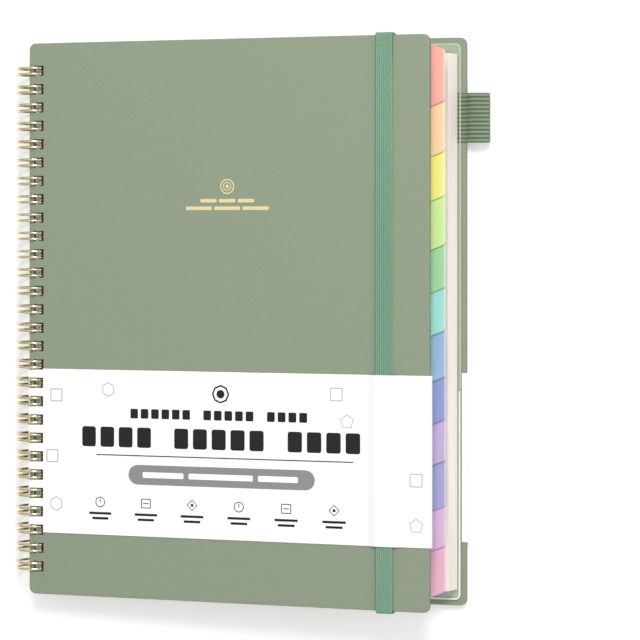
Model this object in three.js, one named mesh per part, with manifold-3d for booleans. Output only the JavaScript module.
// A wire-bound budget planner, lying on its back cover with the front cover a little ajar.
// Millimetres, +Z up out of the front cover, +Y towards its top edge, spine at low X.
// The origin is under the middle of the whole planner, on the surface that it lies on.
import * as THREE from "three";
import { mergeGeometries, mergeVertices } from "three/addons/utils/BufferGeometryUtils.js";
import Module from "manifold-3d";

const wasm = await Module();
wasm.setup();

// Covers
const coverHeight = 254;
const frontWidth = 193;
const backStep = 10;
const board = 2;
const boardRound = 0.5;
const coverCorner = 3;
const ajar = THREE.MathUtils.degToRad(4.5);

// Wire binding and its punched holes
const loops = 28;
const pitch = 25.4 / 3;
const ringRadius = 8.3;
const wire = 1.2;
const twin = 2.75;
const ringSteps = 12;
const wireSides = 5;
const holeWide = 4.9;
const holeTall = 4.8;
const coverMargin = 2.35;
const pageMargin = 3;
const play = 0.3;
const cutReach = 12;

// Stack at the spine, as heights over the ring axis
const halfStack = 6.8;
const pageBottom = -3;
const pageTop = 4.5;

// Pages
const pageInset = 7.5;
const bindStrip = 12.5;
const pageSpineTop = -0.3;
const pastCoverBottom = 6.1;
const pastCoverTop = 3.6;

// Divider sheets and their tabs
const sheet = 0.25;
const dividerHead = 3;
const dividerFoot = 5;
const dividerInset = 4.3;
const firstSpine = 4.05;
const spineStep = 0.36;
const firstFore = 16.5;
const foreStep = 1;
const tabPastCover = 1.5;
const tabTaper = 0.21;
const tabSlant = 0.4;
const tabLap = 3;
const tabRound = 1;
const tabDrops = [31, 53, 72.5, 94, 112.9, 131.8, 152.2, 171, 189.2, 209.4, 227.2, 247.5];

// Liner and clear pocket inside the back cover
const linerInset = 2.6;
const linerThick = 0.4;
const linerCorner = 2.5;
const pocketLeft = 20;
const pocketTall = 94;
const pocketDeep = 0.4;
const film = 0.3;
const weld = 1.5;
const pocketSlant = 1.6;

// Elastic closure
const strapInset = 20.7;
const strapWide = 7.5;
const strap = 0.9;
const slitInset = 4.5;

// Pen loop
const loopReach = 10.8;
const loopTall = 7.4;
const loopWide = 22;
const loopDrop = 25;
const webbing = 0.9;
const tailThick = 0.4;
const tailLength = 14;

// Paper belly band
const paper = 0.3;
const bandBottom = 28.5;
const bandTall = 75.5;
const bandFold = 10;
const bandGap = 0.2;
const backBandLeft = 9;

const outerFace = halfStack;
const innerFace = halfStack - board;
// Where a hole must be centred to clear the ring in a sheet between two heights.
function holeCentre(near, far) {
  const inside = ringRadius * Math.cos(Math.PI / ringSteps) - wire / 2;
  const outside = ringRadius + wire / 2;
  return (Math.sqrt(inside ** 2 - far ** 2) + Math.sqrt(outside ** 2 - near ** 2)) / 2;
}
const crossing = holeCentre(innerFace, outerFace);
const bandCrossing = holeCentre(outerFace + bandGap, outerFace + bandGap + paper);
const coverLeft = crossing - coverMargin - holeWide / 2;
const frontEdge = coverLeft + frontWidth;
const backEdge = frontEdge + backStep;
const pageHole = holeCentre(0, pageTop);
const pageLeft = pageHole - holeWide / 2 - pageMargin;
const edgeY = coverHeight / 2;
const pageY = edgeY - pageInset;
const dividerTop = edgeY - dividerHead;
const dividerBottom = dividerFoot - edgeY;
const strapAt = frontEdge - strapInset;
const slitY = edgeY - slitInset;
const loopTop = edgeY - loopDrop;
const bandLow = bandBottom - edgeY;

function solid(geometry) {
  const bare = geometry.index ? geometry.clone() : geometry;
  for (const name of Object.keys(bare.attributes)) {
    if (name !== "position") bare.deleteAttribute(name);
  }
  const merged = mergeVertices(bare, 1e-4);
  return new wasm.Manifold(
    new wasm.Mesh({
      numProp: 3,
      vertProperties: merged.attributes.position.array,
      triVerts: new Uint32Array(merged.index.array),
    }),
  );
}

function geometryOf(made) {
  const mesh = made.getMesh();
  return new THREE.BufferGeometry()
    .setAttribute("position", new THREE.BufferAttribute(mesh.vertProperties, 3))
    .setIndex(new THREE.BufferAttribute(mesh.triVerts, 1));
}

function outline(points) {
  return new THREE.Shape(points.map(([x, y]) => new THREE.Vector2(x, y)));
}

// A rectangle between two corners, with all four corners rounded.
function roundedRect(x0, y0, x1, y1, r) {
  const s = new THREE.Shape();
  s.moveTo(x0 + r, y0);
  s.lineTo(x1 - r, y0);
  s.absarc(x1 - r, y0 + r, r, -Math.PI / 2, 0);
  s.lineTo(x1, y1 - r);
  s.absarc(x1 - r, y1 - r, r, 0, Math.PI / 2);
  s.lineTo(x0 + r, y1);
  s.absarc(x0 + r, y1 - r, r, Math.PI / 2, Math.PI);
  s.lineTo(x0, y0 + r);
  s.absarc(x0 + r, y0 + r, r, Math.PI, Math.PI * 1.5);
  return s;
}

// A flat shape in X and Y made into a plate that starts at height z.
function plate(shape, z, thick, curveSegments = 4) {
  const g = new THREE.ExtrudeGeometry(shape, { depth: thick, bevelEnabled: false, curveSegments });
  return solid(g.translate(0, 0, z));
}

// A section in X and Z made into a bar that runs along Y from low to high.
function bar(shape, low, high, curveSegments = 6) {
  const g = new THREE.ExtrudeGeometry(shape, {
    depth: high - low,
    bevelEnabled: false,
    curveSegments,
  });
  return solid(g.rotateX(Math.PI / 2).translate(0, high, 0));
}

function block(x0, x1, y0, y1, z0, z1) {
  const g = new THREE.BoxGeometry(x1 - x0, y1 - y0, z1 - z0);
  return g.translate((x0 + x1) / 2, (y0 + y1) / 2, (z0 + z1) / 2);
}

const loopY = (i) => ((loops - 1) / 2 - i) * pitch;

// The row of punched holes, as one cutter, for sheets whose holes are centred at x.
function holeCutter(x) {
  const cuts = [];
  for (let i = 0; i < loops; i++) {
    const [w, t] = [holeWide / 2, holeTall / 2];
    cuts.push(block(x - w, x + w, loopY(i) - t, loopY(i) + t, -cutReach, cutReach));
  }
  return solid(mergeGeometries(cuts));
}
const coverPunch = holeCutter(crossing);
const pagePunch = holeCutter(pageHole);
const bandPunch = coverPunch.add(holeCutter(bandCrossing));

// Slits in the back cover and its liner, through which the elastic is threaded.
const slitX = strapAt * Math.cos(ajar) + (strapAt * Math.sin(ajar) + innerFace) * Math.sin(ajar);
function slitCutter() {
  const half = strapWide / 2 + 2 * play;
  const open = strap / 2 + 3 * play;
  const cuts = [1, -1].map((side) => {
    const y = side * slitY;
    return block(slitX - half, slitX + half, y - open, y + open, -cutReach, 0);
  });
  return solid(mergeGeometries(cuts));
}
const slits = slitCutter();

const colours = {
  sage: new THREE.MeshStandardMaterial({ color: 0x97a38a, roughness: 0.75 }),
  gold: new THREE.MeshStandardMaterial({ color: 0xd9c79a, roughness: 0.25, metalness: 1 }),
  paper: new THREE.MeshStandardMaterial({ color: 0xece4e0, roughness: 0.9 }),
  white: new THREE.MeshStandardMaterial({ color: 0xfafafa, roughness: 0.7 }),
  frosted: new THREE.MeshStandardMaterial({ color: 0xb9c6ae, roughness: 0.4 }),
  clear: new THREE.MeshStandardMaterial({ color: 0xdfe6d6, roughness: 0.15 }),
  elastic: new THREE.MeshStandardMaterial({ color: 0x6da083, roughness: 0.9 }),
  webbing: new THREE.MeshStandardMaterial({ color: 0x73856a, roughness: 0.9 }),
};
const tabColours = [
  0xf9b0a3, 0xfcd5a5, 0xf7f089, 0xd1f0a0, 0xa6dba8, 0xa6e5dc,
  0x9dbfe2, 0x959fd6, 0xc6b3df, 0xa9a9d9, 0xdfbbe0, 0xf3bad2,
];

function named(name, made, material) {
  const mesh = new THREE.Mesh(made.isBufferGeometry ? made : geometryOf(made), material);
  mesh.name = name;
  return mesh;
}

// A board cover with rounded edges, its outer face on one side of the ring axis.
function coverBoard(width, side) {
  const inset = boardRound;
  const s = roundedRect(
    coverLeft + inset,
    inset - edgeY,
    coverLeft + width - inset,
    edgeY - inset,
    coverCorner - inset,
  );
  const g = new THREE.ExtrudeGeometry(s, {
    depth: board - 2 * boardRound,
    bevelThickness: boardRound,
    bevelSize: boardRound,
    bevelSegments: 2,
    curveSegments: 4,
  });
  const low = side > 0 ? innerFace : -outerFace;
  return solid(g.translate(0, 0, low + boardRound)).subtract(coverPunch);
}

// One continuous wire: twin rings through each hole, closed by a hairpin tip against the
// bends that join the loops, which run between the last page and the back cover.
class BindingWire extends THREE.Curve {
  constructor() {
    super();
    this.points = [];
    const seam = Math.asin((pageBottom - play - wire / 2) / ringRadius);
    const bulge = twin / 4;
    const tip = seam + (wire + 2 * play + bulge) / ringRadius - 2 * Math.PI;
    const at = (angle, y) => {
      const [x, z] = [ringRadius * Math.cos(angle), ringRadius * Math.sin(angle)];
      this.points.push(new THREE.Vector3(x, y, z));
    };
    const bend = (angle, y, width, drop) => {
      for (const part of [1, 2]) {
        const a = (part * Math.PI) / 3;
        at(angle - (drop * Math.sin(a)) / ringRadius, y + (width / 2) * Math.cos(a));
      }
    };
    for (let i = 0; i < loops; i++) {
      const y = loopY(i);
      for (const [side, from, to] of [[1, seam, tip], [-1, tip, seam]]) {
        for (let k = 0; k <= ringSteps; k++) {
          at(from + ((to - from) * k) / ringSteps, y + (side * twin) / 2);
        }
        if (side > 0) bend(tip, y, twin, bulge);
      }
      if (i < loops - 1) bend(seam, y - pitch / 2, pitch - twin, 0);
    }
  }
  getPoint(t, target = new THREE.Vector3()) {
    const place = t * (this.points.length - 1);
    const i = Math.min(Math.floor(place), this.points.length - 2);
    return target.lerpVectors(this.points[i], this.points[i + 1], place - i);
  }
  getPointAt(u, target) {
    return this.getPoint(u, target);
  }
  getTangentAt(u, target = new THREE.Vector3()) {
    const last = this.points.length - 1;
    const i = Math.round(u * last);
    const [a, b] = [this.points[Math.max(i - 1, 0)], this.points[Math.min(i + 1, last)]];
    return target.subVectors(b, a).normalize();
  }
}

function wireBinding() {
  const path = new BindingWire();
  const section = new THREE.Shape();
  for (let k = 0; k < wireSides; k++) {
    const a = (2 * Math.PI * k) / wireSides;
    const [x, y] = [(wire / 2) * Math.cos(a), (wire / 2) * Math.sin(a)];
    if (k) section.lineTo(x, y);
    else section.moveTo(x, y);
  }
  const steps = path.points.length - 1;
  return solid(new THREE.ExtrudeGeometry(section, { steps, extrudePath: path }));
}

// All the leaves as one block, fanned a little at the fore-edge and stepped down
// past the binding strip to leave room for the divider sheets.
function pageBlock() {
  const section = outline([
    [pageLeft, pageBottom],
    [frontEdge + pastCoverBottom, pageBottom],
    [frontEdge + pastCoverTop, pageTop],
    [bindStrip, pageSpineTop],
    [bindStrip, pageTop],
    [pageLeft, pageTop],
  ]);
  return bar(section, -pageY, pageY).subtract(pagePunch);
}

// One divider sheet with its tab. Each tab laps under the tab in front of it.
function divider(i) {
  const spine = bindStrip + play;
  const [low, high] = [firstSpine - i * spineStep, firstFore - i * foreStep];
  const cover = frontEdge - spine;
  const reach = cover + tabPastCover + tabTaper * high;
  const edge = cover - dividerInset;
  const slant = (x) => edgeY - tabDrops[i] + (x - cover) * tabSlant;
  const s = new THREE.Shape();
  s.moveTo(0, dividerBottom);
  s.lineTo(edge, dividerBottom);
  s.lineTo(edge, slant(edge));
  s.lineTo(reach - tabRound, slant(reach - tabRound));
  s.quadraticCurveTo(reach, slant(reach), reach, slant(reach) + tabRound);
  const above = i ? edgeY - tabDrops[i - 1] + tabLap : dividerTop;
  const top = i ? above : above + slant(edge) - slant(reach);
  s.lineTo(reach, top);
  s.lineTo(edge, above);
  s.lineTo(edge, dividerTop);
  s.lineTo(0, dividerTop);
  const mesh = named(
    "divider_" + String(i + 1).padStart(2, "0"),
    plate(s, 0, sheet, 2),
    new THREE.MeshStandardMaterial({ color: tabColours[i], roughness: 0.5 }),
  );
  mesh.position.set(spine, 0, low - sheet);
  mesh.rotation.y = -Math.atan2(high - low, reach);
  return mesh;
}

function linerPanel() {
  const s = roundedRect(
    bindStrip,
    linerInset - edgeY,
    backEdge - linerInset,
    edgeY - linerInset,
    linerCorner,
  );
  const tail = block(
    backEdge - tailLength - play,
    backEdge,
    loopTop - loopWide - play,
    loopTop + play,
    -cutReach,
    0,
  );
  return plate(s, -innerFace, linerThick).subtract(slits).subtract(solid(tail));
}

// A clear film pocket, welded to the liner on three sides and open along its top.
function backPocket() {
  const [low, z] = [linerInset - edgeY, linerThick - innerFace];
  const [right, high] = [backEdge - linerInset, low + pocketTall];
  const s = new THREE.Shape();
  s.moveTo(pocketLeft, low);
  s.lineTo(right - linerCorner, low);
  s.absarc(right - linerCorner, low + linerCorner, linerCorner, -Math.PI / 2, 0);
  s.lineTo(right, high - pocketSlant);
  s.lineTo(right - pocketSlant, high);
  s.lineTo(pocketLeft, high);
  const inside = block(pocketLeft + weld, right - weld, low + weld, high + weld, z - 1, z + pocketDeep);
  return plate(s, z, pocketDeep + film).subtract(solid(inside)).subtract(slits);
}

// The elastic in the frame of the front cover: flat over the cover, round its top and
// bottom edges, and down to the slits in the back cover.
function elasticClosure() {
  const [low, high] = [outerFace + play, outerFace + play + strap];
  const side = edgeY + play;
  const drop = -(strapAt * Math.sin(ajar) + outerFace) / Math.cos(ajar) + play;
  const knee = innerFace - play;
  const half = [
    [side - strap, high],
    [side + strap * 0.7, high - strap * 0.3],
    [side + strap, low],
    [side + strap, knee],
    [slitY + strap / 2, drop],
    [slitY - strap / 2, drop],
    [side, knee],
    [side, low],
  ];
  const other = half.map(([y, z]) => [-y, z]).reverse();
  const g = new THREE.ExtrudeGeometry(outline([...half, ...other]), {
    depth: strapWide,
    bevelEnabled: false,
  });
  g.rotateX(Math.PI / 2).rotateZ(Math.PI / 2);
  return solid(g.translate(strapAt - strapWide / 2, 0, 0));
}

// A loop of elastic webbing for a pen, its tail laid on the back cover beside the liner.
function penLoop() {
  const [left, right] = [backEdge + play, backEdge + loopReach];
  const [mid, level] = [(left + right) / 2, tailThick / 2 - innerFace];
  const oval = (path, rx, ry) => path.absellipse(mid, level, rx, ry, 0, 2 * Math.PI);
  const ring = new THREE.Shape();
  oval(ring, (right - left) / 2, loopTall / 2);
  const bore = new THREE.Path();
  oval(bore, (right - left) / 2 - webbing, loopTall / 2 - webbing);
  ring.holes.push(bore);
  const [low, high] = [loopTop - loopWide, loopTop];
  const tail = block(
    backEdge - tailLength,
    left + webbing * 0.6,
    low,
    high,
    -innerFace,
    tailThick - innerFace,
  );
  return bar(ring, low, high, 10).add(solid(tail));
}

// The front band lies over the elastic and folds round the fore-edge of the front cover.
function frontBand() {
  const [low, lift] = [outerFace + bandGap, outerFace + 2 * play + strap];
  const [near, far] = [strapAt - strapWide / 2, strapAt + strapWide / 2];
  const ramp = 4;
  const edge = frontEdge + bandGap;
  const under = innerFace - bandGap;
  const section = outline([
    [coverLeft, low],
    [near - ramp, low],
    [near - play, lift],
    [far + play, lift],
    [far + ramp, low],
    [edge, low],
    [edge, under],
    [edge - bandFold, under],
    [edge - bandFold, under - paper],
    [edge + paper, under - paper],
    [edge + paper, low + paper],
    [far + ramp, low + paper],
    [far + play, lift + paper],
    [near - play, lift + paper],
    [near - ramp, low + paper],
    [coverLeft, low + paper],
  ]);
  return bar(section, bandLow, bandLow + bandTall).subtract(bandPunch);
}

// The back band starts beside the wire, covers the back cover and hooks over its fore-edge.
function backBand() {
  const [low, top] = [-outerFace - bandGap, bandGap - innerFace];
  const edge = backEdge + bandGap;
  const lip = linerInset - play;
  const section = outline([
    [backBandLeft, low - paper],
    [edge + paper, low - paper],
    [edge + paper, top + paper],
    [edge - lip, top + paper],
    [edge - lip, top],
    [edge, top],
    [edge, low],
    [backBandLeft, low],
  ]);
  return bar(section, bandLow, bandLow + bandTall);
}

const planner = new THREE.Group();
const lowest = ringRadius + wire / 2;
planner.position.set((lowest - backEdge - loopReach) / 2, 0, lowest);

const binding = new THREE.Group();
binding.add(named("wire_binding", wireBinding(), colours.gold));
binding.add(named("page_block", pageBlock(), colours.paper));
for (let i = 0; i < tabDrops.length; i++) binding.add(divider(i));

const backSide = new THREE.Group();
backSide.add(named("back_cover", coverBoard(frontWidth + backStep, -1).subtract(slits), colours.sage));
backSide.add(named("liner_panel", linerPanel(), colours.frosted));
backSide.add(named("back_pocket", backPocket(), colours.clear));
backSide.add(named("pen_loop", penLoop(), colours.webbing));
backSide.add(named("belly_band_back", backBand(), colours.white));

const frontSide = new THREE.Group();
frontSide.rotation.y = -ajar;
frontSide.add(named("front_cover", coverBoard(frontWidth, 1), colours.sage));
frontSide.add(named("belly_band_front", frontBand(), colours.white));
frontSide.add(named("elastic_band", elasticClosure(), colours.elastic));

planner.add(binding, backSide, frontSide);
export default planner;
